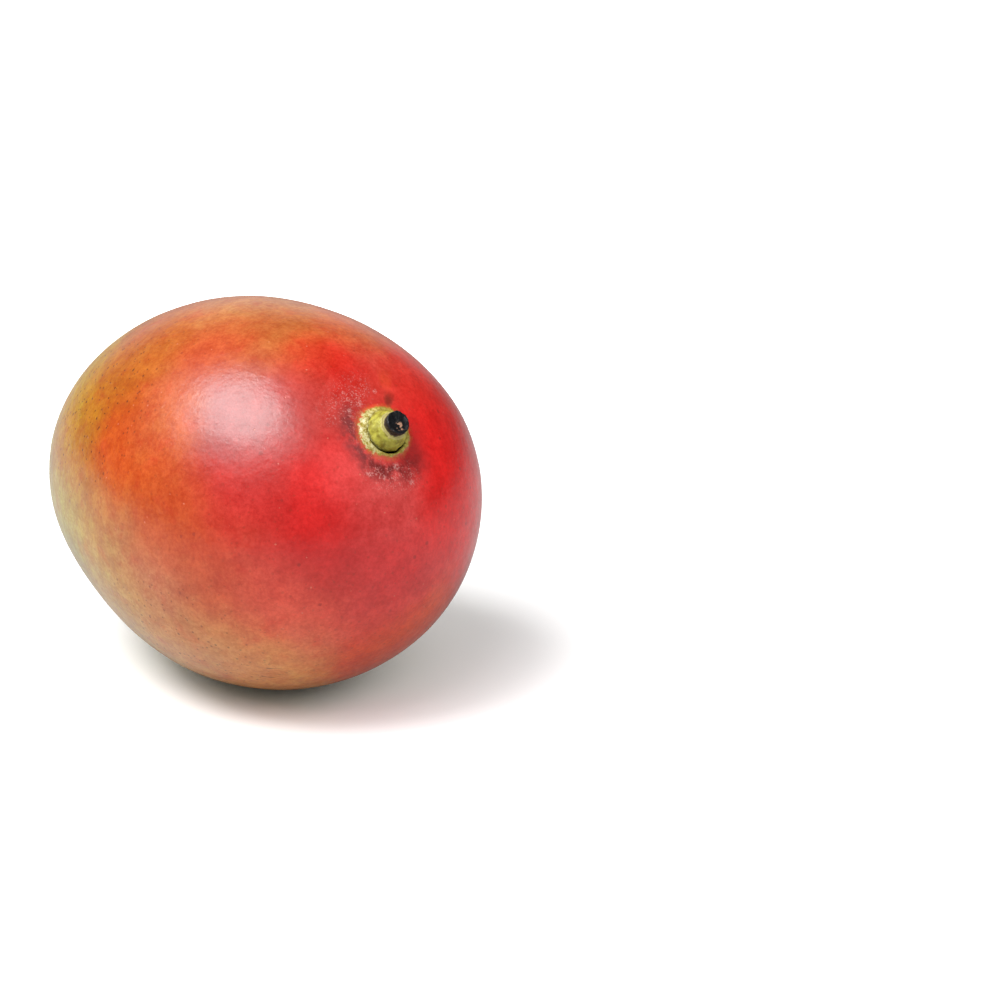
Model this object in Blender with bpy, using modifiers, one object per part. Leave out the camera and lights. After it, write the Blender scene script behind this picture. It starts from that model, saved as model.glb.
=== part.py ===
"""A whole ripe mango lying on its side, with the short stub of its stem. Metres, +Z up.

The origin is the middle of the small flat spot that it rests on. The stem end points along +X,
the wide plane of the flat seed stands upright, and the thinner side of the fruit lies along Y.
"""

from math import cos, pi, radians, sin, sqrt

import bpy
import numpy as np
from mathutils import Vector

# Fruit: half sizes along its length, through its thinner side and across its wide side
HALF_LENGTH = 0.0600
HALF_THICKNESS = 0.0437
HALF_WIDTH = 0.0466

# How much fuller the stem end is than the pointed end, and how much slimmer the back is
FULLER_THICKNESS = 0.128
FULLER_WIDTH = 0.077
SLIMMER_BACK = 0.066

# How the fruit lies: stem end lifted, wide plane leaning towards +Y
LIFT = radians(5.8)
LEAN = radians(3.4)

# Hollow below the pointed end and shoulder beside the stem: how high the skin stands out or in,
# how far that spreads as a share of a radius, and where it is (up, then aside towards -Y)
SINUS_RISE, SINUS_SPREAD = -0.00303, 0.42
SINUS_UP, SINUS_ASIDE = radians(-129.5), radians(39.7)
SHOULDER_RISE, SHOULDER_SPREAD = 0.00123, 0.30
SHOULDER_UP, SHOULDER_ASIDE = radians(25.5), radians(-43.5)

# Shallow cavity that the stem stands in, and the way the stem points
CAVITY_RISE, CAVITY_SPREAD = -0.0024, 0.16
CAVITY_UP, CAVITY_ASIDE = radians(26.7), radians(5.9)
STEM_UP, STEM_ASIDE = radians(29.0), radians(10.6)

# Flat spot that the fruit rests on
FOOT_DEPTH = 0.0008
TABLE_SIDE, TABLE_DEPTH = 0.060, 0.010

# Corky lip round the stem, measured from the bottom of the cavity
LIP_RADIUS = 0.0060
LIP_HEIGHT = 0.0008
LIP_ROOT = 0.0030
LIP_ROUNDING = 0.0005

# Stem: root in its hole, round shoulder, neck, and the dry cut end
ROOT_DEPTH, ROOT_RADIUS = 0.0050, 0.0036
STUB_RADIUS = 0.00475
STUB_WIDEST = 0.0010
NECK_RADIUS, NECK_HEIGHT = 0.00325, 0.0047
TIP_RADIUS, TIP_HEIGHT = 0.00278, 0.0070
TIP_EDGE = 0.0003
STEM_GAP = 0.0003
SOCKET_RISE = 0.0040

# Facets
SKIN_SEGMENTS, SKIN_RINGS = 80, 48
TURNED_STEPS = 36
SHOULDER_STEPS = 7
FOOT_SAMPLES = 200_000
SHARP_ANGLE = radians(40)


def direction(up, aside):
    """Unit direction from the middle of the fruit: up from the stem end, then aside towards -Y."""
    return Vector((cos(aside) * cos(up), -sin(aside), cos(aside) * sin(up)))


SWELLINGS = (
    (direction(SINUS_UP, SINUS_ASIDE), SINUS_SPREAD, SINUS_RISE),
    (direction(SHOULDER_UP, SHOULDER_ASIDE), SHOULDER_SPREAD, SHOULDER_RISE),
    (direction(CAVITY_UP, CAVITY_ASIDE), CAVITY_SPREAD, CAVITY_RISE),
)


def skin(directions):
    """Points of the skin for an array of unit directions from the middle, before the fruit leans."""
    along, across, up = directions.T
    thickness = HALF_THICKNESS * (1 + FULLER_THICKNESS * along) * (1 - SLIMMER_BACK * up)
    width = HALF_WIDTH * (1 + FULLER_WIDTH * along)
    points = np.stack([HALF_LENGTH * along, thickness * across, width * up], axis=1)
    for place, spread, rise in SWELLINGS:
        away = np.linalg.norm(directions - np.array(place), axis=1)
        points += directions * (rise * np.exp(-(away**2) / (2 * spread**2)))[:, None]
    return points


def even_directions(count):
    """Unit directions spread evenly all round, on a spiral from pole to pole."""
    step = np.arange(count)
    height = 1 - (2 * step + 1) / count
    turn = step * pi * (3 - sqrt(5))
    level = np.sqrt(1 - height**2)
    return np.stack([level * np.cos(turn), level * np.sin(turn), height], axis=1)


def foot_centre(turned):
    """Middle of the flat spot, from the skin points that lie within FOOT_DEPTH of the lowest."""
    points = skin(even_directions(FOOT_SAMPLES)) @ np.array(turned.to_matrix()).T
    ground = points[:, 2].min() + FOOT_DEPTH
    below = points[points[:, 2] < ground]
    return Vector((below[:, 0].mean(), below[:, 1].mean(), ground))


def clear_scene():
    for obj in list(bpy.data.objects):
        bpy.data.objects.remove(obj, do_unlink=True)


def new_collection(name):
    collection = bpy.data.collections.new(name)
    bpy.context.scene.collection.children.link(collection)
    return collection


def new_material(name, colour, roughness):
    material = bpy.data.materials.new(name)
    material.use_nodes = True
    shader = material.node_tree.nodes["Principled BSDF"]
    shader.inputs["Base Color"].default_value = (*colour, 1)
    shader.inputs["Roughness"].default_value = roughness
    shader.inputs["Metallic"].default_value = 0
    return material


def move_to(obj, collection):
    for old in list(obj.users_collection):
        old.objects.unlink(obj)
    collection.objects.link(obj)


def shade_round(mesh):
    mesh.shade_smooth()
    mesh.set_sharp_from_angle(angle=SHARP_ANGLE)


def add_empty(name, collection, parent=None):
    empty = bpy.data.objects.new(name, None)
    empty.empty_display_size = 0.01
    empty.parent = parent
    collection.objects.link(empty)
    return empty


def add_fruit(collection, parent):
    """The whole fruit, from a sphere whose poles lie at the stem and opposite it."""
    bpy.ops.mesh.primitive_uv_sphere_add(segments=SKIN_SEGMENTS, ring_count=SKIN_RINGS, radius=1)
    fruit = bpy.context.object
    fruit.name = "fruit"
    mesh = fruit.data
    corners = np.empty(len(mesh.vertices) * 3, np.float32)
    mesh.vertices.foreach_get("co", corners)
    pole = direction(CAVITY_UP, CAVITY_ASIDE).to_track_quat("Z", "Y").to_matrix()
    directions = corners.reshape(-1, 3).astype(float) @ np.array(pole).T
    directions /= np.linalg.norm(directions, axis=1)[:, None]
    mesh.vertices.foreach_set("co", skin(directions).astype(np.float32).ravel())
    shade_round(mesh)
    mesh.update()
    move_to(fruit, collection)
    fruit.parent = parent
    return fruit


def add_turned(name, profile, collection, parent):
    """A solid turned about the Z axis of its parent, from (radius, height) pairs, top to bottom."""
    mesh = bpy.data.meshes.new(name)
    points = [(radius, 0, height) for radius, height in profile]
    mesh.from_pydata(points, [(i, i + 1) for i in range(len(points) - 1)], [])
    obj = bpy.data.objects.new(name, mesh)
    obj.parent = parent
    collection.objects.link(obj)
    screw = obj.modifiers.new("turn", "SCREW")
    screw.steps = TURNED_STEPS
    screw.render_steps = TURNED_STEPS
    screw.use_merge_vertices = True
    screw.merge_threshold = 0.00001
    screw.use_smooth_shade = True
    return obj


def stem_profile():
    """Outline of the stem from the middle of its cut end down to the middle of its root."""
    profile = [
        (0, TIP_HEIGHT),
        (TIP_RADIUS - TIP_EDGE, TIP_HEIGHT),
        (TIP_RADIUS, TIP_HEIGHT - TIP_EDGE),
        (TIP_RADIUS, NECK_HEIGHT + TIP_EDGE),
    ]
    for step in range(SHOULDER_STEPS):
        share = step / (SHOULDER_STEPS - 1)
        radius = NECK_RADIUS + (STUB_RADIUS - NECK_RADIUS) * sin(share * pi / 2)
        height = STUB_WIDEST + (NECK_HEIGHT - STUB_WIDEST) * (1 - share)
        profile.append((radius, height))
    profile += [
        (STUB_RADIUS, 0),
        (ROOT_RADIUS, -ROOT_DEPTH),
        (0, -ROOT_DEPTH),
    ]
    return profile


def lip_profile():
    """Outline of the round blank that the lip is left of, once the stem's hole is cut."""
    return [
        (0, LIP_HEIGHT),
        (LIP_RADIUS - LIP_ROUNDING, LIP_HEIGHT),
        (LIP_RADIUS - LIP_ROUNDING * (1 - sin(pi / 4)), LIP_HEIGHT - LIP_ROUNDING * (1 - cos(pi / 4))),
        (LIP_RADIUS, LIP_HEIGHT - LIP_ROUNDING),
        (LIP_RADIUS, -LIP_ROOT),
        (0, -LIP_ROOT),
    ]


def socket_profile():
    """Outline of the plain hole for the stem, a small gap wider than its root."""
    return [
        (0, SOCKET_RISE),
        (STUB_RADIUS + STEM_GAP, SOCKET_RISE),
        (STUB_RADIUS + STEM_GAP, 0),
        (ROOT_RADIUS + STEM_GAP, -ROOT_DEPTH - STEM_GAP),
        (0, -ROOT_DEPTH - STEM_GAP),
    ]


def add_table(collection):
    """Block whose top is the surface that the fruit rests on."""
    bpy.ops.mesh.primitive_cube_add(size=1, location=(0, 0, -TABLE_DEPTH / 2))
    table = bpy.context.object
    table.name = "table_cutter"
    table.scale = (TABLE_SIDE, TABLE_SIDE, TABLE_DEPTH)
    move_to(table, collection)
    return table


def combine(obj, name, operation, other):
    boolean = obj.modifiers.new(name, "BOOLEAN")
    boolean.operation = operation
    boolean.solver = "EXACT"
    boolean.object = other


clear_scene()
parts = new_collection("mango")
cutters = new_collection("cutters")

lean = add_empty("lean", parts)
lean.rotation_euler = (-LEAN, -LIFT, 0)
lean.location = -foot_centre(lean.rotation_euler)

seat = add_empty("stem_seat", parts, lean)
seat.location = skin(np.array([direction(CAVITY_UP, CAVITY_ASIDE)]))[0]
seat.rotation_euler = direction(STEM_UP, STEM_ASIDE).to_track_quat("Z", "Y").to_euler()

fruit = add_fruit(parts, lean)
fruit.data.materials.append(new_material("mango_skin", (0.60, 0.08, 0.04), 0.35))
stem = add_turned("stem", stem_profile(), parts, seat)
stem.data.materials.append(new_material("mango_stem", (0.36, 0.33, 0.08), 0.7))

lip = add_turned("lip_blank", lip_profile(), cutters, seat)
socket = add_turned("socket_cutter", socket_profile(), cutters, seat)
table = add_table(cutters)
for helper in (lip, socket, table):
    helper.hide_render = True
    helper.display_type = "WIRE"

combine(fruit, "corky_lip", "UNION", lip)
combine(fruit, "stem_hole", "DIFFERENCE", socket)
combine(fruit, "flat_spot", "DIFFERENCE", table)
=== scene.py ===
from math import cos, pi, radians, sin, sqrt

import bpy
import numpy as np
from mathutils import Matrix, Vector, noise


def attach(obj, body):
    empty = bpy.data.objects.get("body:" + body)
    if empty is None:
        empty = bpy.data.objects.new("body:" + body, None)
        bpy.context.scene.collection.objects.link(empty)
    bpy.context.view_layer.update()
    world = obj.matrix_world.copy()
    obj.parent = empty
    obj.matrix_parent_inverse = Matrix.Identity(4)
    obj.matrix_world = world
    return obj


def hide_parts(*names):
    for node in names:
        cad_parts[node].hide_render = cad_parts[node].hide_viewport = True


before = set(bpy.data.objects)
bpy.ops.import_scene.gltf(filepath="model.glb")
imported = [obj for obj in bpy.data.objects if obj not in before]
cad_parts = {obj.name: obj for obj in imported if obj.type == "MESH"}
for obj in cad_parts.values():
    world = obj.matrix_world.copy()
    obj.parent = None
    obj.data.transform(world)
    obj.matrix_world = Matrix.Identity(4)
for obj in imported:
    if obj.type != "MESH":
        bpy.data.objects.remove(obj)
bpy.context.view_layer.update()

# Fruit: half sizes, how much fuller the stem end is, how much slimmer the back is
HALF_LENGTH = 0.0600
HALF_THICKNESS = 0.0437
HALF_WIDTH = 0.0466
FULLER_THICKNESS = 0.128
FULLER_WIDTH = 0.077
SLIMMER_BACK = 0.066

# How the fruit lies
LIFT = radians(5.8)
LEAN = radians(3.4)
FOOT_DEPTH = 0.0008
FOOT_SAMPLES = 200_000

# Hollow below the pointed end, shoulder beside the stem, and the cavity that the stem stands in
SINUS_RISE, SINUS_SPREAD = -0.00303, 0.42
SINUS_UP, SINUS_ASIDE = radians(-129.5), radians(39.7)
SHOULDER_RISE, SHOULDER_SPREAD = 0.00123, 0.30
SHOULDER_UP, SHOULDER_ASIDE = radians(25.5), radians(-43.5)
CAVITY_RISE, CAVITY_SPREAD = -0.0024, 0.16
CAVITY_UP, CAVITY_ASIDE = radians(26.7), radians(5.9)
STEM_UP, STEM_ASIDE = radians(29.0), radians(10.6)

# Course of the stem from its root up to the edge of its cut end: radius, height above the seat
STEM_COURSE = (
    (0.00360, -0.0050),
    (0.00420, -0.0020),
    (0.00455, -0.0003),
    (0.00475, 0.0010),
    (0.00462, 0.0020),
    (0.00425, 0.0031),
    (0.00375, 0.0040),
    (0.00335, 0.0046),
    (0.00318, 0.00485),
    (0.00285, 0.00490),
    (0.00272, 0.00510),
    (0.00270, 0.0058),
    (0.00278, 0.0065),
    (0.00268, 0.0069),
    (0.00245, 0.0070),
)
STEM_STEPS = 5
STEM_SIDES = 96

# Cut end of the stem, from its edge inwards: how far in and how far down each step goes
CUT_END = (
    (0.00025, 0.00010),
    (0.0004, 0.00022),
    (0.0005, 0.00008),
    (0.0005, -0.00010),
    (0.0004, 0.00005),
)

# Course of the fruit's surface outwards from the middle of the stem's hole: radius from the
# stem's axis, height above the seat, and how far it follows the skin (0 flat, 1 with the skin)
STEM_ZONE = (
    (0.0000, -0.00530, 0.0),
    (0.0030, -0.00530, 0.0),
    (0.0039, -0.00515, 0.0),
    (0.0044, -0.00300, 0.0),
    (0.0050, 0.00000, 0.2),
    (0.0051, 0.00045, 0.5),
    (0.0053, 0.00068, 0.7),
    (0.0056, 0.00066, 0.8),
    (0.0060, 0.00042, 0.9),
    (0.0064, 0.00016, 1.0),
    (0.0070, 0.00002, 1.0),
    (0.0080, 0.00000, 1.0),
    (0.0090, 0.00000, 1.0),
)
ZONE_STEPS = 6
ZONE_HELD, ZONE_FREE = 0.0064, 0.0090
SKIN_SEGMENTS = 288
SKIN_RINGS = 190
FIRST_STEP_SHARE = 0.4

# Corky lip round the stem's hole: where it stands, how uneven it is, how far out it is bare cork
HOLE_RADIUS = 0.0050
LIP_CREST, LIP_SPREAD = 0.0060, 0.0005
LIP_WAVER, LIP_RISE = 0.028, 0.00018
LIP_TO = 0.0057

# The lip closes on the stub all round, apart from a gap on the lower side
GAP_OPEN = radians(-98)
GAP_NARROW, GAP_WIDER = 0.00006, 0.00032
LIP_CLIMB, LIP_TUCK, LIP_FILL = 0.00034, 0.00018, 0.00062

# What the lip stands against: the stub between two heights, measured at so many angles
STUB_LEVEL, STUB_HALF_LEVEL = 0.0004, 0.0006
STUB_ANGLES = 49

# How much the lip gives way at which radius: radii, shares
WALL_SHARE = (0.0039, 0.0044, 0.0050, 0.0053, 0.0064), (0, 0.5, 1, 1, 0)
TUCK_SHARE = (0.0050, 0.0053, 0.0057, 0.0062), (0, 1, 0.6, 0)
CLIMB_SHARE = (0.0040, 0.0046, 0.0054, 0.0070), (0, 1, 1, 0)
FILL_SHARE = (0.0044, 0.0050, 0.0051, 0.0053), (0, 1, 0.6, 0)

# Swells and bumps of a grown surface: metres from crest to crest, height, seed
SKIN_SWELLS = ((0.024, 0.00022, 1), (0.009, 0.00005, 2))
STUB_BUMPS = ((0.0016, 0.00022, 5), (0.0006, 0.00010, 6))
END_BUMPS = ((0.0011, 0.00030, 7), (0.0004, 0.00012, 11))

# Ribs of the stub, broad and fine, as shares of its radius
RIB_HEIGHT, HAIR_HEIGHT = 0.010, 0.003

# Where unevenness sets in: on the skin over that angle beyond the cavity, on the stub and on its
# cut end from that height upwards, over so many metres
CALM_ANGLE = 0.3
STUB_FROM, STUB_OVER = -0.001, 0.002
END_FROM, END_OVER = 0.0062, 0.0006

# In the seat's frame, whatever is lower than this is the far side of the fruit
FAR_BELOW = -0.020

# Camera: the photograph's viewing angle
VIEW_AZIMUTH = radians(42.6)
VIEW_ELEVATION = radians(20)
VIEW_DISTANCE = 0.700
VIEW_LENS = 105.6
FRUIT_MIDDLE = Vector((0.0006, -0.0005, 0.0454))
AIM_RIGHT, AIM_DOWN = 0.0572, 0.0019

# Place on the fruit that the key light aims at
SHINE = Vector((0.024, -0.027, 0.078))

# Softboxes: name, target, azimuth and elevation, distance, width and height, brightness, roll,
# and whether the skin mirrors it
SOFTBOXES = (
    ("key", SHINE, (-24, 58.5), 0.80, (0.68, 0.45), 8.0, 20, True),
    ("key's soft edge", SHINE, (-16, 55.5), 0.82, (1.12, 0.76), 2.6, 20, True),
    ("fill", FRUIT_MIDDLE, (118, 34), 1.00, (0.62, 0.50), 1.1, 0, False),
    ("side", FRUIT_MIDDLE, (84, 36), 0.90, (0.80, 0.56), 1.9, 0, False),
)

# Room: how bright it is mirrored and how bright it lights; the wall behind the fruit, turned a
# little to the left, and the side in front of it, each with the cosines that it fades between
DARK_ROOM = 0.085
SOFT_LIGHT = 0.46
WALL = (0.80, 0.97, 0.54)
WALL_TURN = radians(8)
FRONT = (0.10, 0.90, 0.17)

# Floor: its size, its grey as it lights the fruit, the radii between which its shade fades to
# white, and the stretch to the right over which a painted glow lifts the shade a little
FLOOR_SIZE = 12
FLOOR_GREY = 0.48
FLOOR_SHADED, FLOOR_WHITE = 0.10, 0.30
LIFTED_FROM, LIFTED_TO, LIFTED_BY = 0.018, 0.072, 0.20


def direction(up, aside):
    """Unit direction from the middle of the fruit: up from the stem end, then aside towards -Y."""
    return Vector((cos(aside) * cos(up), -sin(aside), cos(aside) * sin(up)))


SWELLINGS = (
    (direction(SINUS_UP, SINUS_ASIDE), SINUS_SPREAD, SINUS_RISE),
    (direction(SHOULDER_UP, SHOULDER_ASIDE), SHOULDER_SPREAD, SHOULDER_RISE),
    (direction(CAVITY_UP, CAVITY_ASIDE), CAVITY_SPREAD, CAVITY_RISE),
)


def skin(directions):
    """Points of the skin for an array of unit directions from the middle, before it leans."""
    along, across, up = directions.T
    thickness = HALF_THICKNESS * (1 + FULLER_THICKNESS * along) * (1 - SLIMMER_BACK * up)
    width = HALF_WIDTH * (1 + FULLER_WIDTH * along)
    points = np.stack([HALF_LENGTH * along, thickness * across, width * up], axis=1)
    for place, spread, rise in SWELLINGS:
        away = np.linalg.norm(directions - np.array(place), axis=1)
        points += directions * (rise * np.exp(-(away**2) / (2 * spread**2)))[:, None]
    return points


def even_directions(count):
    """Unit directions spread evenly all round, on a spiral from pole to pole."""
    step = np.arange(count)
    height = 1 - (2 * step + 1) / count
    turn = step * pi * (3 - sqrt(5))
    level = np.sqrt(1 - height**2)
    return np.stack([level * np.cos(turn), level * np.sin(turn), height], axis=1)


def lean_matrix():
    """How the fruit lies: turned, then moved so that its flat spot is at the origin."""
    turned = Matrix.Rotation(-LIFT, 4, "Y") @ Matrix.Rotation(-LEAN, 4, "X")
    points = skin(even_directions(FOOT_SAMPLES)) @ np.array(turned.to_3x3()).T
    ground = points[:, 2].min() + FOOT_DEPTH
    below = points[points[:, 2] < ground]
    middle = Vector((below[:, 0].mean(), below[:, 1].mean(), ground))
    return Matrix.Translation(-middle) @ turned


LYING = lean_matrix()
SEAT_POINT = Vector(skin(np.array([direction(CAVITY_UP, CAVITY_ASIDE)]))[0])
STEM_TURN = direction(STEM_UP, STEM_ASIDE).to_track_quat("Z", "Y").to_matrix().to_4x4()
SEAT = LYING @ Matrix.Translation(SEAT_POINT) @ STEM_TURN


def place_on_skin(up, aside):
    """Point of the lying fruit's skin, for angles in degrees."""
    ray = direction(radians(up), radians(aside))
    return LYING @ Vector(skin(np.array([ray]))[0])


# Shapes


def deselect_all():
    if bpy.context.object and bpy.context.object.mode != "OBJECT":
        bpy.ops.object.mode_set(mode="OBJECT")
    bpy.ops.object.select_all(action="DESELECT")


def begin(name):
    """Names the primitive just added and opens it for shaping, with nothing selected."""
    piece = bpy.context.object
    piece.name = name
    piece.data.name = name
    bpy.ops.object.transform_apply(location=True)
    bpy.ops.object.mode_set(mode="EDIT")
    bpy.ops.mesh.select_all(action="DESELECT")
    return piece


def close(piece):
    bpy.ops.object.mode_set(mode="OBJECT")
    piece.select_set(False)


def smooth_course(points, steps):
    """Points of a smooth line through the given ones, with so many steps between two of them."""
    given = np.array(points, float)
    last = len(given) - 1
    course = []
    for i in range(last):
        before, here, after, beyond = (given[min(max(k, 0), last)] for k in range(i - 1, i + 3))
        for step in range(steps):
            t = step / steps
            course.append(
                0.5 * (2 * here + (after - before) * t
                       + (2 * before - 5 * here + 4 * after - beyond) * t**2
                       + (3 * here - before - 3 * after + beyond) * t**3)
            )
    course.append(given[-1])
    return np.array(course)


def wavy(angles, counts, seed):
    """Uneven waves round a ring, from -1 to 1 or so."""
    phases = np.random.default_rng(seed).uniform(0, 2 * pi, len(counts))
    waves = [np.cos(count * angles + phase) for count, phase in zip(counts, phases)]
    return np.sum(waves, axis=0) / sqrt(len(counts))


def read_points(mesh):
    flat = np.empty(len(mesh.vertices) * 3, np.float32)
    mesh.vertices.foreach_get("co", flat)
    return flat.reshape(-1, 3).astype(float)


def write_points(mesh, points):
    mesh.vertices.foreach_set("co", points.astype(np.float32).ravel())
    mesh.update()


def carried(points, matrix):
    """The points, as the matrix carries them."""
    turn = np.array(matrix.to_3x3())
    return points @ turn.T + np.array(matrix.translation)


def unevenness(points, bumps):
    """How high each point of a grown surface stands, for bumps given as size, height and seed."""
    total = 0
    for size, height, seed in bumps:
        shift = Vector((seed * 3.1, seed * 1.7, seed * 2.3))
        total = total + np.array([noise.noise(Vector(p) / size + shift) for p in points]) * height
    return total


def stub_outline(stem, angles):
    """Radius of the stub, where the lip stands against it, at the given angles about its axis."""
    points = carried(read_points(stem.data), SEAT.inverted())
    points = points[np.abs(points[:, 2] - STUB_LEVEL) < STUB_HALF_LEVEL]
    turn = np.arctan2(points[:, 1], points[:, 0])
    radius = np.hypot(points[:, 0], points[:, 1])
    steps = np.linspace(-pi, pi, STUB_ANGLES)
    widest = [radius[np.abs((turn - step + pi) % (2 * pi) - pi) < pi / 40].max() for step in steps]
    return np.interp(angles, steps, widest)


def round_the_hole(at_seat, course, stem):
    """Points about the stem, in the seat's frame, drawn onto the hole, its lip and the cavity.

    The course gives each point's radius, its height and how far it follows the skin.
    """
    course_radius, height, follow = course.T
    own = np.linalg.norm(at_seat[:, :2], axis=1)
    way = at_seat[:, :2] / np.maximum(own, 1e-9)[:, None]
    turn = np.arctan2(way[:, 1], way[:, 0])
    pull = np.clip((ZONE_FREE - course_radius) / (ZONE_FREE - ZONE_HELD), 0, 1)
    radius = own + (course_radius - own) * pull**2 * (3 - 2 * pull)

    lip = np.exp(-(((radius - LIP_CREST) / LIP_SPREAD) ** 2))
    opening = (0.5 + 0.5 * np.cos(turn - GAP_OPEN)) ** 3
    wall = stub_outline(stem, turn) + GAP_NARROW + GAP_WIDER * opening
    tuck = LIP_TUCK * (1 - opening) * np.interp(radius, *TUCK_SHARE)
    radius = radius + (wall - HOLE_RADIUS) * np.interp(radius, *WALL_SHARE) - tuck
    radius = radius * (1 + LIP_WAVER * lip * wavy(turn, (2, 3, 5, 8, 13), 4))

    height = height + LIP_RISE * lip * wavy(turn, (2, 3, 5, 9, 14), 9)
    height = height + LIP_CLIMB * (1 - opening) * np.interp(radius, *CLIMB_SHARE)
    height = height + LIP_FILL * (1 - opening) * np.interp(course_radius, *FILL_SHARE)
    height = height + follow * at_seat[:, 2]
    return np.concatenate([way * radius[:, None], height[:, None]], axis=1)


def model_fruit(stem):
    """The whole fruit as one closed surface: the stem's hole, its lip, the cavity and the skin."""
    zone = smooth_course(STEM_ZONE, ZONE_STEPS)
    rings = len(zone) - 1 + SKIN_RINGS
    bpy.ops.mesh.primitive_uv_sphere_add(segments=SKIN_SEGMENTS, ring_count=rings, radius=1)
    fruit = begin("mango_fruit")
    close(fruit)
    ball = read_points(fruit.data)
    polar = np.arccos(np.clip(ball[:, 2] / np.linalg.norm(ball, axis=1), -1, 1))
    ring = np.rint(polar / pi * rings).astype(int)
    turn = np.arctan2(ball[:, 1], ball[:, 0])

    # The ball's rings, close together at the stem and wider apart towards the pointed end
    reach = SEAT_POINT.length
    edge = zone[-1, 0] / reach
    share = np.arange(1, SKIN_RINGS + 1) / SKIN_RINGS
    spread = FIRST_STEP_SHARE * share + (1 - FIRST_STEP_SHARE) * share**2
    angle = np.concatenate([zone[:, 0] / reach, edge + (pi - edge) * spread])[ring]
    pole = np.array(direction(CAVITY_UP, CAVITY_ASIDE).to_track_quat("Z", "Y").to_matrix())
    level = np.sin(angle)
    local = np.stack([level * np.cos(turn), level * np.sin(turn), np.cos(angle)], axis=1)
    points = carried(skin(local @ pole.T), LYING)

    near = ring < len(zone)
    at_seat = carried(points[near], SEAT.inverted())
    points[near] = carried(round_the_hole(at_seat, zone[ring[near]], stem), SEAT)

    out = points - np.array(FRUIT_MIDDLE)
    out /= np.linalg.norm(out, axis=1)[:, None]
    calm = np.clip((angle - edge) / CALM_ANGLE, 0, 1)
    points += out * (unevenness(points, SKIN_SWELLS) * calm)[:, None]
    points[:, 2] = np.maximum(points[:, 2], 0)
    write_points(fruit.data, points)

    middle = carried(np.array([face.center for face in fruit.data.polygons]), SEAT.inverted())
    corky = (np.linalg.norm(middle[:, :2], axis=1) < LIP_TO) & (middle[:, 2] > FAR_BELOW)
    fruit.data.polygons.foreach_set("material_index", corky.astype(np.int32))
    fruit.data.shade_smooth()
    return fruit


def model_stem():
    """The stub of the stalk, drawn up ring by ring from its root, with a sunken cut end."""
    course = smooth_course(STEM_COURSE, STEM_STEPS)
    bpy.ops.mesh.primitive_circle_add(
        vertices=STEM_SIDES, radius=course[0, 0], fill_type="NGON", location=(0, 0, course[0, 1])
    )
    stem = begin("mango_stem")
    bpy.ops.mesh.select_all(action="SELECT")
    for here, after in zip(course[:-1], course[1:]):
        bpy.ops.mesh.extrude_region_move(
            TRANSFORM_OT_translate={"value": (0, 0, after[1] - here[1])}
        )
        grow = after[0] / here[0]
        bpy.ops.transform.resize(value=(grow, grow, 1), center_override=(0, 0, 0))
    for width, drop in CUT_END:
        bpy.ops.mesh.inset(thickness=width)
        bpy.ops.transform.translate(value=(0, 0, -drop))
    bpy.ops.mesh.poke()
    bpy.ops.mesh.select_all(action="SELECT")
    bpy.ops.mesh.normals_make_consistent(inside=False)
    close(stem)

    points = read_points(stem.data)
    turn = np.arctan2(points[:, 1], points[:, 0])
    radius = np.hypot(points[:, 0], points[:, 1])
    stub = np.clip((points[:, 2] - STUB_FROM) / STUB_OVER, 0, 1)
    ribs = wavy(turn, (5, 8, 13, 21), 3) * RIB_HEIGHT + wavy(turn, (31, 43), 8) * HAIR_HEIGHT
    radius = radius * (1 + stub * ribs)
    points[:, 0], points[:, 1] = radius * np.cos(turn), radius * np.sin(turn)
    way = np.stack([np.cos(turn), np.sin(turn), 0 * turn], axis=1)
    points += way * (unevenness(points, STUB_BUMPS) * stub)[:, None]
    end = np.clip((points[:, 2] - END_FROM) / END_OVER, 0, 1)
    points[:, 2] += end * unevenness(points, END_BUMPS)
    write_points(stem.data, carried(points, SEAT))
    stem.data.shade_smooth()
    return stem


# Materials


def tint(red, green, blue):
    """A colour given in steps of 0 to 255, as a shader takes it."""
    def linear(step):
        share = step / 255
        return share / 12.92 if share <= 0.04045 else ((share + 0.055) / 1.055) ** 2.4
    return (linear(red), linear(green), linear(blue), 1)


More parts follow.
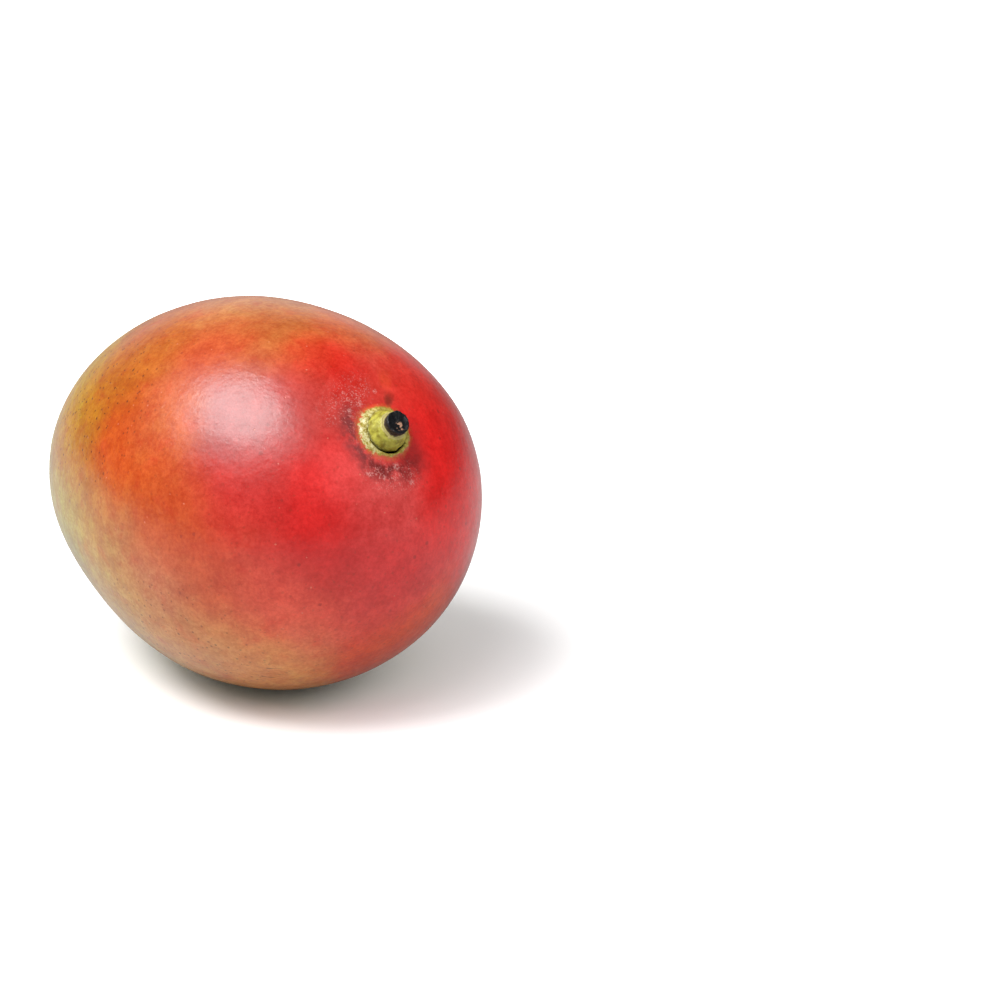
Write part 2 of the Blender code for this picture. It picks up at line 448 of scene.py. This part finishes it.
class Board:
    """The node board of one material."""

    def __init__(self, name):
        self.material = bpy.data.materials.new(name)
        self.material.use_nodes = True
        self.tree = self.material.node_tree
        self.shader = self.tree.nodes["Principled BSDF"]
        self.place = self.put("ShaderNodeTexCoord", {}).outputs["Object"]

    def put(self, kind, inputs, **settings):
        """Adds a node; each input is set to a value or wired to another node."""
        made = self.tree.nodes.new(kind)
        for name, value in settings.items():
            setattr(made, name, value)
        for name, value in inputs.items():
            if isinstance(value, bpy.types.NodeSocket):
                self.tree.links.new(value, made.inputs[name])
            else:
                made.inputs[name].default_value = value
        return made

    def wire(self, value, *inputs):
        """Leads a value to the shader's own inputs."""
        for name in inputs:
            self.tree.links.new(value, self.shader.inputs[name])

    def reckon(self, operation, first, second=0.0):
        return self.put("ShaderNodeMath", {0: first, 1: second}, operation=operation).outputs[0]

    def plus(self, first, second):
        return self.reckon("ADD", first, second)

    def minus(self, first, second):
        return self.reckon("SUBTRACT", first, second)

    def times(self, first, second):
        return self.reckon("MULTIPLY", first, second)

    def larger(self, first, second):
        return self.reckon("MAXIMUM", first, second)

    def vector(self, operation, first, second=(0, 0, 0)):
        made = self.put("ShaderNodeVectorMath", {0: first, 1: second}, operation=operation)
        gives_number = operation in ("DISTANCE", "LENGTH", "DOT_PRODUCT")
        return made.outputs["Value" if gives_number else "Vector"]

    def scaled(self, vector, factor):
        inputs = {0: vector, "Scale": factor}
        return self.put("ShaderNodeVectorMath", inputs, operation="SCALE").outputs[0]

    def grade(self, value, low, high, start=0.0, end=1.0):
        """A smooth step: start where the value is low, end where it is high."""
        return self.put(
            "ShaderNodeMapRange",
            {"Value": value, "From Min": low, "From Max": high, "To Min": start, "To Max": end},
            interpolation_type="SMOOTHSTEP",
        ).outputs[0]

    def blend(self, factor, under, over):
        inputs = {0: factor, 6: under, 7: over}
        return self.put("ShaderNodeMix", inputs, data_type="RGBA").outputs[2]

    def stained(self, colour, where, strength, over):
        """The colour with another one over it, at that strength where the value is 1."""
        return self.blend(self.times(where, strength), colour, over)

    def noise_at(self, place, size, detail, rough):
        return self.put(
            "ShaderNodeTexNoise",
            {"Vector": place, "Scale": 1 / size, "Detail": detail, "Roughness": rough},
        )

    def cloud(self, size, detail=2.0, rough=0.5, place=None):
        """Cloudy noise from 0 to 1, with features of about that size in metres."""
        return self.noise_at(place or self.place, size, detail, rough).outputs[0]

    def cells(self, size, place):
        """Scattered cells of about that size: distance from each middle, and a draw for each."""
        made = self.put("ShaderNodeTexVoronoi", {"Vector": place, "Scale": 1 / size})
        return made.outputs["Distance"], made.outputs["Color"]

    def shaken(self, place, size, amount):
        """The place, shifted unevenly by up to about that amount."""
        shift = self.noise_at(place, size, 2.0, 0.5).outputs[1]
        middle = self.vector("SUBTRACT", shift, (0.5, 0.5, 0.5))
        return self.vector("ADD", place, self.scaled(middle, 2 * amount))

    def swayed(self, value, cloud, amount):
        """The value, raised and lowered by up to half that amount."""
        return self.plus(value, self.times(self.minus(cloud, 0.5), amount))

    def seen_from(self, matrix):
        """Object coordinates in the frame of the matrix, turned first and then moved."""
        back = matrix.inverted()
        return self.put(
            "ShaderNodeMapping",
            {"Vector": self.place, "Location": back.translation, "Rotation": back.to_euler()},
            vector_type="POINT",
        ).outputs[0]

    def emboss(self, height, strength, distance, *inputs):
        """Lets the surface look raised by the height."""
        settings = {"Height": height, "Strength": strength, "Distance": distance}
        self.wire(self.put("ShaderNodeBump", settings).outputs[0], *inputs)


# How deep the colours are under the bright studio light
DEPTH = 0.80

# How much the grain of the skin pales it
PALLOR = (0.014, 0.016, 0.016)

# Ground colours of the skin: name, up and aside in degrees, reach in metres, colour
PATCHES = (
    ("pointed end, pale yellow green", 180, 20, 0.018, (176, 160, 84)),
    ("ochre beside the pointed end", 138, 59, 0.014, (180, 106, 0)),
    ("olive edge of the golden shoulder", 131, 43, 0.010, (194, 150, 4)),
    ("golden green beside the pointed end", 136, 53, 0.008, (190, 128, 0)),
    ("ochre above the left rim", 140, 66, 0.007, (190, 112, 0)),
    ("left rim, straw", -176, 64, 0.010, (184, 172, 84)),
    ("tan below the orange cheek", 160, 82, 0.008, (184, 108, 34)),
    ("lower left, pinkish tan", -60, 83, 0.009, (182, 114, 54)),
    ("lower left rim, pale straw", -158, 68, 0.011, (190, 156, 72)),
    ("golden shoulder", 110, 46, 0.011, (184, 94, 0)),
    ("upper golden shoulder", 98, 33, 0.009, (186, 94, 22)),
    ("orange blotch on the golden shoulder", 98, 64, 0.007, (198, 68, 0)),
    ("orange cheek", 78, 72, 0.009, (200, 78, 14)),
    ("orange edge of the blush", 71, 54, 0.008, (196, 88, 40)),
    ("left cheek, orange red", 7, 73, 0.012, (194, 74, 18)),
    ("upper flank, orange red", 72, 27, 0.009, (190, 72, 26)),
    ("back ridge, tan olive", 82, 6, 0.009, (196, 118, 58)),
    ("ridge above the stem, olive orange", 58, -11, 0.008, (208, 100, 44)),
    # painted shade: kept darker so that the key light's highlight on it stays below white
    ("under the shine, red darkened against the highlight", 50, 38, 0.011, (154, 44, 42)),
    # painted highlight: paler green and blue here paint the haze beside the key light's highlight
    ("beside the shine, painted haze of the highlight", 45, 23, 0.009, (190, 54, 46)),
    ("ridge behind the shine, orange", 62, 17, 0.009, (186, 100, 40)),
    ("bright streak, orange red", 53, 13, 0.0062, (202, 14, 0)),
    ("bright streak, lower end", 47, 10, 0.0064, (202, 16, 0)),
    ("below the stem, rose red", 13, 16, 0.009, (222, 76, 72)),
    ("ridge above the stem, coral", 46, -6, 0.008, (206, 66, 52)),
    ("above the stem, orange red", 39, -17, 0.009, (230, 40, 24)),
    ("stem side, vivid red", 22, -15, 0.012, (230, 14, 10)),
    ("far cheek of the stem end, red", 6, -22, 0.012, (244, 6, 0)),
    ("left of the middle, rose red", 18, 50, 0.011, (190, 36, 30)),
    ("middle cheek, red", 9, 29, 0.011, (216, 2, 0)),
    ("lower cheek, deep red", -5, 32, 0.010, (186, 6, 6)),
    ("right of the lower cheek, red", -14, 13, 0.010, (226, 42, 40)),
    ("lower left cheek, brown orange", -23, 62, 0.012, (206, 72, 32)),
    ("lower flank, salmon", -24, 35, 0.011, (238, 82, 58)),
    ("low middle flank, peach", -62, 56, 0.012, (232, 152, 84)),
    ("low left, mauve tan", -48, 70, 0.007, (186, 104, 76)),
    ("lower left flank, beige", -102, 66, 0.014, (214, 158, 82)),
    ("underside, peach tan", -50, 34, 0.010, (240, 148, 72)),
    ("under the stem end, brown red", -36, 2, 0.010, (234, 74, 22)),
    ("far side of the stem end, red", 0, -55, 0.020, (204, 40, 30)),
    ("far flank, orange", 80, -60, 0.022, (204, 96, 30)),
    ("far underside, yellow green", -95, -50, 0.024, (182, 156, 66)),
    ("far pointed end, golden green", 165, -40, 0.022, (182, 148, 48)),
    ("below the pointed end, yellow green", -150, 10, 0.018, (184, 162, 78)),
)

# Painted shade about the stem, and one orange streak: name, ring (inner, middle and outer radius),
# side (heading and the half widths where it is full and where it ends, in degrees), strength,
# colour, and between which values of the clouds it shows, if it is cloudy
SHADINGS = (
    # painted shade left of the stem, its green and blue raised as a painted sheen
    ("painted greyish shade and sheen", (0.0060, 0.0085, 0.0135), (182, 25, 70), 0.85, (112, 48, 50), (0.30, 0.58)),
    # painted shade below the stem
    ("painted brown shade below", (0.0064, 0.0090, 0.0150), (-92, 20, 65), 0.90, (106, 20, 20), (0.32, 0.58)),
    # painted shadow that the stub casts to its right
    ("painted shadow of the stub", (0.0050, 0.0070, 0.0130), (-34, 25, 66), 0.62, (172, 14, 10), None),
    # painted shade above the stem
    ("painted brown shade above", (0.0058, 0.0082, 0.0118), (62, 2, 10), 0.75, (116, 36, 16), None),
    ("orange streak above", (0.0100, 0.0130, 0.0180), (67, 2, 9), 0.40, (218, 70, 20), None),
)

# Small pale scars about the stem, partly painted glints: up and aside in degrees, half width in
# metres
SCARS = (
    (36, 10, 0.0009),
    (35, 14, 0.0006),
    (38, 3, 0.0006),
    (40, 13, 0.0005),
    (17, 16, 0.0008),
    (17, 7, 0.0009),
    (15, 12, 0.0006),
    (12, 4, 0.0007),
)

# Colours of the stem by height above its seat: where each one starts and where it is full
NECK_FROM = (0.00455, 0.00480)
RING_FROM = (0.00490, 0.00520)
BLACK_FROM = (0.00530, 0.00575)
BARE_SPOT = (0.0002, -0.0009, 0.0068)


def ground_colour(board):
    """The broad colours of the skin, each one strongest at its own place, with uneven borders."""
    warped = board.shaken(board.shaken(board.place, 0.015, 0.0045), 0.0040, 0.0016)
    total = (0.0, 0.0, 0.0)
    weights = 0.0
    for name, up, aside, reach, colour in PATCHES:
        away = board.vector("DISTANCE", warped, place_on_skin(up, aside))
        near = board.reckon("DIVIDE", away, reach)
        weight = board.reckon("EXPONENT", board.times(board.times(near, near), -1.0))
        board.tree.nodes[-1].label = name
        total = board.vector("ADD", board.scaled(tint(*colour)[:3], weight), total)
        weights = board.plus(weight, weights)
    return board.scaled(total, board.reckon("DIVIDE", 1.0, board.larger(weights, 1e-12)))


def mottled(board, colour):
    """Cloudy unevenness of the blush, from broad clouds down to the grain of the skin."""
    broad = board.cloud(0.013, 2.0, 0.5)
    middle = board.cloud(0.0040, 3.0, 0.6)
    fine = board.cloud(0.0009, 3.0, 0.7)
    light = board.grade(broad, 0.25, 0.75, 0.93, 1.07)
    light = board.times(light, board.grade(middle, 0.25, 0.75, 0.91, 1.09))
    light = board.times(light, board.grade(fine, 0.28, 0.72, 0.90, 1.10))

    redder = board.cloud(0.0055, 3.0, 0.6, board.vector("ADD", board.place, (0.2, 0.4, 0.1)))
    red = board.vector("MULTIPLY", colour, (0.98, 0.55, 0.50))
    colour = board.blend(board.grade(redder, 0.52, 0.72, 0.0, 0.55), colour, red)
    pale = board.vector("MULTIPLY", colour, (1.02, 1.35, 1.35))
    colour = board.blend(board.grade(redder, 0.46, 0.30, 0.0, 0.45), colour, pale)
    colour = board.scaled(colour, light)

    pallor = board.minus(board.plus(fine, middle), 1.0)
    green = board.grade(pallor, -0.25, 0.25, 0.88, 1.12)
    blue = board.grade(pallor, -0.25, 0.25, 0.86, 1.14)
    paler = board.put("ShaderNodeCombineXYZ", {0: 1.0, 1: green, 2: blue}).outputs[0]
    colour = board.vector("MULTIPLY", colour, paler)
    colour = board.vector("ADD", colour, board.scaled(PALLOR, pallor))
    return board.vector("MAXIMUM", colour, (0.0, 0.0, 0.0))


def dots(board, size, share, radius, shift):
    """Scattered dots: cells of that size, so large a share of them filled, and the dots' radius."""
    place = board.shaken(board.vector("ADD", board.place, (shift, shift, shift)), 0.0006, 0.00018)
    distance, draw = board.cells(size, place)
    chosen = board.reckon("GREATER_THAN", draw, 1 - share)
    width = board.times(draw, 2 * radius / size)
    dot = board.grade(board.reckon("DIVIDE", distance, width), 1.15, 0.55)
    return board.times(dot, chosen)


def near_place(board, up, aside, inner, outer):
    """1 within the inner distance of a place on the skin, 0 beyond the outer one."""
    away = board.vector("DISTANCE", board.place, place_on_skin(up, aside))
    return board.grade(away, outer, inner)


def speckled(board, colour):
    """Breathing pores, dark on the golden parts and faint elsewhere, brown spots and pale dots."""
    golden = near_place(board, 118, 52, 0.010, 0.036)
    below = near_place(board, -70, 50, 0.010, 0.034)
    where = board.larger(board.larger(golden, board.times(below, 0.6)), 0.22)
    pores = board.times(dots(board, 0.0014, 0.75, 0.00023, 0.31), where)
    colour = board.stained(colour, pores, 0.95, tint(98, 40, 4))
    spots = dots(board, 0.0040, 0.40, 0.00032, 0.77)
    colour = board.stained(colour, spots, 0.45, tint(120, 24, 14))
    pale = dots(board, 0.0026, 0.35, 0.00015, 0.53)
    colour = board.stained(colour, pale, 0.35, tint(240, 150, 120))
    return colour, board.larger(pores, pale)


def scratched(board, colour):
    """A few thin brown scratches under the cheek."""
    drawn_out = board.vector("MULTIPLY", board.shaken(board.place, 0.004, 0.0008), (180, 180, 1500))
    lines = board.grade(board.cloud(1.0, 2.0, 0.5, drawn_out), 0.60, 0.68)
    where = board.times(lines, near_place(board, -56, 31, 0.0020, 0.0060))
    return board.blend(where, colour, tint(110, 62, 30))


def outwards(board, at_seat):
    """Way outwards from the stem's axis."""
    return board.vector("NORMALIZE", board.vector("MULTIPLY", at_seat, (1, 1, 0)))


def towards(board, way, degrees, full, ends):
    """1 on that side of the stem, 0 away from it: half widths in degrees."""
    heading = (cos(radians(degrees)), sin(radians(degrees)), 0)
    facing = board.vector("DOT_PRODUCT", way, heading)
    return board.grade(facing, cos(radians(ends)), cos(radians(full)))


class AboutStem:
    """The skin about the stem: how far from the stem's axis, on which side, and how uneven."""

    def __init__(self, board):
        self.board = board
        at_seat = board.seen_from(SEAT)
        height = board.vector("DOT_PRODUCT", at_seat, (0, 0, 1))
        far = board.reckon("LESS_THAN", height, FAR_BELOW)
        flat = board.vector("LENGTH", board.vector("MULTIPLY", at_seat, (1, 1, 0)))
        radius = board.plus(flat, far)
        self.way = outwards(board, at_seat)

        # Clouds drawn out along the way outwards, about 2 mm long, in broad and in fine strands
        along = board.put("ShaderNodeCombineXYZ", {2: board.times(radius, 420.0)}).outputs[0]
        broad = board.vector("ADD", board.scaled(self.way, 7.0), along)
        thin = board.vector("ADD", board.scaled(self.way, 16.0), along)
        self.strands = board.cloud(1.0, 3.0, 0.6, broad)
        self.hairs = board.cloud(1.0, 2.0, 0.6, thin)
        self.clouds = board.cloud(0.0030, 3.0, 0.65)
        self.uneven = board.swayed(radius, self.strands, 0.0040)
        ragged = board.swayed(radius, self.hairs, 0.0012)
        self.ragged = board.swayed(ragged, board.cloud(0.0010, 3.0, 0.7), 0.0020)

    def side(self, degrees, full, ends):
        return towards(self.board, self.way, degrees, full, ends)

    def part(self, ring, side):
        """1 at the ring's middle radius on that side, 0 inside and outside the ring."""
        inner, middle, outer = ring
        rising = self.board.grade(self.uneven, inner, middle)
        falling = self.board.grade(self.uneven, outer, middle)
        return self.board.times(self.board.times(rising, falling), self.side(*side))


def shaded(board, colour, about):
    """Painted shade about the stem, with a painted greyish sheen, the stub's painted shadow, and an
    orange streak.
    """
    for name, ring, side, strength, over, clouds in SHADINGS:
        where = about.part(ring, side)
        if clouds:
            where = board.times(where, board.grade(about.clouds, *clouds))
        colour = board.stained(colour, where, strength, tint(*over))
        board.tree.nodes[-1].label = name
    return colour


def flaked(board, colour, about):
    """Fine pale flakes and small scars about the stem, both partly painted glints off the cracked
    skin.
    """
    upper = about.part((0.0062, 0.0100, 0.0185), (126, 18, 48))
    lower = about.part((0.0072, 0.0110, 0.0165), (-100, 16, 46))
    left = about.part((0.0060, 0.0072, 0.0105), (180, 40, 90))
    where = board.larger(board.larger(upper, lower), board.times(left, 0.6))
    between = board.times(where, board.grade(about.clouds, 0.62, 0.42))
    colour = board.stained(colour, between, 0.16, tint(206, 96, 92))

    grain = board.cloud(0.00042, 3.0, 0.65)
    crumbs = board.grade(board.plus(grain, board.times(about.strands, 0.40)), 0.760, 0.835)
    scales = board.grade(board.plus(about.strands, board.times(about.hairs, 0.8)), 0.98, 1.08)
    near = board.times(board.grade(about.uneven, 0.0112, 0.0085), about.side(134, 14, 40))
    # painted glints in part: the pale flakes stand partly for light caught by the cracked skin
    flakes = board.times(board.larger(crumbs, board.times(scales, near)), where)
    colour = board.stained(colour, flakes, 0.55, tint(236, 150, 142))

    scars = 0.0
    for up, aside, size in SCARS:
        scars = board.larger(scars, near_place(board, up, aside, 0.2 * size, 1.4 * size))
    scars = board.times(scars, board.grade(grain, 0.40, 0.58))
    return board.stained(colour, scars, 0.50, tint(244, 180, 172)), flakes


def cork(board, way):
    """Colour of the corky lip: yellow green, with pale flakes on one side and dark specks."""
    grain = board.cloud(0.0007, 4.0, 0.7)
    flecks = board.cloud(0.00038, 2.0, 0.6)
    colour = board.blend(board.grade(grain, 0.35, 0.65), tint(148, 128, 40), tint(198, 184, 84))
    flaky = board.times(towards(board, way, 168, 30, 85), board.grade(grain, 0.44, 0.60))
    colour = board.stained(colour, flaky, 0.75, tint(222, 216, 168))
    return board.blend(board.grade(flecks, 0.60, 0.72, 0.0, 0.7), colour, tint(98, 80, 30))


def corked(board, colour, about):
    """The ragged edge of the cork on the skin, with a brown fringe."""
    fringe = board.minus(about.ragged, board.times(about.side(172, 25, 80), 0.0007))
    colour = board.stained(colour, board.grade(fringe, 0.0074, 0.0060), 0.50, tint(196, 112, 52))
    return board.blend(board.grade(fringe, 0.0063, 0.0057), colour, cork(board, about.way))


def skin_material():
    board = Board("mango_skin")
    about = AboutStem(board)
    colour = mottled(board, ground_colour(board))
    colour, pores = speckled(board, colour)
    colour = scratched(board, colour)
    colour = shaded(board, colour, about)
    colour, flakes = flaked(board, colour, about)
    colour = corked(board, colour, about)
    board.wire(board.scaled(colour, DEPTH), "Base Color")

    waxy = board.cloud(0.0030, 3.0, 0.6)
    board.wire(board.grade(waxy, 0.25, 0.75, 0.38, 0.50), "Roughness")
    board.shader.inputs["Specular IOR Level"].default_value = 0.15
    board.shader.inputs["Coat Weight"].default_value = 0.88
    board.shader.inputs["Coat Roughness"].default_value = 0.26

    # Peel, its grain and broad shallow dents, sunken pores and raised flakes
    relief = board.plus(board.cloud(0.0017), board.times(board.cloud(0.0006), 0.30))
    relief = board.plus(relief, board.times(board.cloud(0.0060, 1.0), 1.2))
    relief = board.minus(relief, board.times(pores, 0.35))
    relief = board.plus(relief, board.times(flakes, 1.2))
    board.emboss(relief, 0.55, 0.00012, "Normal", "Coat Normal")
    return board.material


def lip_material():
    board = Board("stem_lip_cork")
    at_seat = board.seen_from(SEAT)
    way = outwards(board, at_seat)
    height = board.vector("DOT_PRODUCT", at_seat, (0, 0, 1))
    # painted shade: the gap on the lower side and the inside of the hole are coloured dark
    gap = board.times(board.grade(height, 0.0006, -0.0002), towards(board, way, -95, 40, 110))
    hole = board.grade(height, -0.0004, -0.0012)
    colour = board.blend(board.larger(gap, hole), cork(board, way), tint(40, 30, 10))
    board.wire(board.scaled(colour, DEPTH), "Base Color")
    grain = board.cloud(0.0005, 3.0, 0.7)
    board.wire(board.grade(grain, 0.3, 0.7, 0.60, 0.80), "Roughness")
    board.emboss(grain, 0.8, 0.0003, "Normal")
    return board.material


def stem_material():
    board = Board("stem_stub")
    at_seat = board.seen_from(SEAT)
    way = outwards(board, at_seat)
    height = board.vector("DOT_PRODUCT", at_seat, (0, 0, 1))
    ragged = board.swayed(height, board.cloud(0.0012, 3.0), 0.0008)
    patches = board.cloud(0.0024, 3.0, 0.6)
    grain = board.cloud(0.0006, 3.0, 0.7)
    flecks = board.cloud(0.00035, 2.0, 0.6)

    green = board.blend(board.grade(patches, 0.35, 0.65), tint(136, 126, 26), tint(190, 186, 66))
    green = board.blend(board.grade(grain, 0.55, 0.75, 0.0, 0.6), green, tint(216, 214, 120))
    dry = board.blend(board.grade(flecks, 0.45, 0.6), tint(138, 122, 60), tint(222, 216, 164))
    pale = board.times(board.grade(ragged, 0.0020, 0.0006), towards(board, way, 168, 30, 95))
    colour = board.stained(green, pale, 0.8, dry)
    colour = board.blend(board.grade(ragged, *NECK_FROM, 0.0, 0.8), colour, tint(200, 186, 118))
    colour = board.blend(board.grade(ragged, *RING_FROM), colour, tint(84, 66, 56))

    # Dry black cut end, with a bare spot in it
    brown = board.grade(flecks, 0.68, 0.76, 0.0, 0.6)
    black = board.blend(brown, tint(7, 8, 14), tint(120, 96, 84))
    near = board.grade(board.vector("DISTANCE", at_seat, BARE_SPOT), 0.0014, 0.0006)
    bare = board.times(near, board.grade(board.cloud(0.0008, 1.0), 0.53, 0.60))
    black = board.blend(bare, black, tint(186, 140, 112))
    colour = board.blend(board.grade(ragged, *BLACK_FROM), colour, black)
    board.wire(board.scaled(colour, DEPTH), "Base Color")
    board.wire(board.grade(grain, 0.3, 0.7, 0.42, 0.62), "Roughness")
    board.emboss(grain, 0.6, 0.0002, "Normal")
    return board.material


def floor_material():
    """White to the camera, apart from the shade round the fruit, which a painted glow lifts to the
    right; grey as it lights the fruit.
    """
    board = Board("pale_floor")
    seen = board.put("ShaderNodeLightPath", {}).outputs["Is Camera Ray"]
    grey = (FLOOR_GREY, FLOOR_GREY, FLOOR_GREY, 1)
    board.wire(board.blend(seen, grey, (1, 1, 1, 1)), "Base Color")
    far = board.grade(board.vector("LENGTH", board.place), FLOOR_SHADED, FLOOR_WHITE)
    right = board.vector("DOT_PRODUCT", board.place, (1, 0, 0))
    # painted light: a glow seen by the camera only lifts the fruit's shadow to its right
    far = board.larger(far, board.grade(right, LIFTED_FROM, LIFTED_TO, 0.0, LIFTED_BY))
    board.wire(board.times(far, seen), "Emission Strength")
    board.shader.inputs["Emission Color"].default_value = (1, 1, 1, 1)
    board.shader.inputs["Roughness"].default_value = 0.9
    board.shader.inputs["Specular IOR Level"].default_value = 0.0
    return board.material


# Studio


def towards_azimuth(azimuth, elevation):
    """Unit direction from the fruit to a camera or light at that azimuth and elevation."""
    return Vector((sin(azimuth) * cos(elevation), -cos(azimuth) * cos(elevation), sin(elevation)))


def view_axes():
    """The photograph's right, up and back directions."""
    back = towards_azimuth(VIEW_AZIMUTH, VIEW_ELEVATION)
    right = Vector((cos(VIEW_AZIMUTH), sin(VIEW_AZIMUTH), 0))
    return right, back.cross(right), back


def set_camera():
    right, up, back = view_axes()
    camera = bpy.data.objects.new("camera", bpy.data.cameras.new("camera"))
    bpy.context.scene.collection.objects.link(camera)
    camera.data.lens = VIEW_LENS
    camera.data.sensor_width = 36
    camera.data.clip_start = 0.05
    camera.data.clip_end = 50
    camera.location = FRUIT_MIDDLE + right * AIM_RIGHT - up * AIM_DOWN + back * VIEW_DISTANCE
    camera.rotation_euler = Matrix((right, up, back)).transposed().to_euler()
    bpy.context.scene.camera = camera


def add_softbox(name, target, place, distance, size, brightness, roll, mirrored):
    """An oval light facing the target; brightness 1 is white, angles are in degrees."""
    way = towards_azimuth(*(radians(angle) for angle in place))
    width, height = size
    light = bpy.data.lights.new(name, "AREA")
    light.shape = "ELLIPSE"
    light.size = width
    light.size_y = height
    light.energy = brightness * pi * width * height * pi / 4
    box = bpy.data.objects.new(name, light)
    bpy.context.scene.collection.objects.link(box)
    box.location = target + way * distance
    facing = way.to_track_quat("Z", "Y").to_matrix()
    box.rotation_euler = (facing @ Matrix.Rotation(radians(roll), 3, "Z")).to_euler()
    box.visible_glossy = mirrored


def set_world():
    """A dark studio with a white wall behind the fruit and a paler side in front of it."""
    world = bpy.data.worlds.new("studio")
    world.use_nodes = True
    tree = world.node_tree
    tree.nodes.clear()
    place = tree.nodes.new("ShaderNodeTexCoord").outputs["Generated"]

    def glow(way, low, high, strength):
        """Brightness about one direction, fading between two cosines."""
        facing = tree.nodes.new("ShaderNodeVectorMath")
        facing.operation = "DOT_PRODUCT"
        facing.inputs[1].default_value = way
        tree.links.new(place, facing.inputs[0])
        fade = tree.nodes.new("ShaderNodeMapRange")
        fade.interpolation_type = "SMOOTHSTEP"
        fade.inputs["From Min"].default_value = low
        fade.inputs["From Max"].default_value = high
        fade.inputs["To Max"].default_value = strength
        tree.links.new(facing.outputs["Value"], fade.inputs["Value"])
        return fade.outputs[0]

    def combine(operation, first, second):
        made = tree.nodes.new("ShaderNodeMath")
        made.operation = operation
        tree.links.new(first, made.inputs[0])
        if isinstance(second, float):
            made.inputs[1].default_value = second
        else:
            tree.links.new(second, made.inputs[1])
        return made.outputs[0]

    front = towards_azimuth(VIEW_AZIMUTH, 0)
    behind = Matrix.Rotation(WALL_TURN, 3, "Z") @ -front
    mirrored = combine("ADD", combine("ADD", glow(behind, *WALL), glow(front, *FRONT)), DARK_ROOM)
    ray = tree.nodes.new("ShaderNodeLightPath")
    soft = combine("MULTIPLY", ray.outputs["Is Diffuse Ray"], SOFT_LIGHT)
    shine = combine("MAXIMUM", ray.outputs["Is Camera Ray"], combine("MAXIMUM", mirrored, soft))
    background = tree.nodes.new("ShaderNodeBackground")
    background.inputs["Color"].default_value = (1, 1, 1, 1)
    tree.links.new(shine, background.inputs["Strength"])
    output = tree.nodes.new("ShaderNodeOutputWorld")
    tree.links.new(background.outputs[0], output.inputs[0])
    bpy.context.scene.world = world


def add_floor():
    bpy.ops.mesh.primitive_plane_add(size=FLOOR_SIZE, location=(0, 0, 0))
    floor = bpy.context.object
    floor.name = "floor"
    floor.data.materials.append(floor_material())
    floor.select_set(False)


deselect_all()
stem = model_stem()
stem.data.materials.append(stem_material())
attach(stem, "root")
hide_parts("stem")

deselect_all()
fruit = model_fruit(stem)
fruit.data.materials.append(skin_material())
fruit.data.materials.append(lip_material())
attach(fruit, "root")
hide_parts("fruit")

deselect_all()
add_floor()
set_camera()
set_world()
for softbox in SOFTBOXES:
    add_softbox(*softbox)
bpy.context.scene.view_settings.view_transform = "Standard"
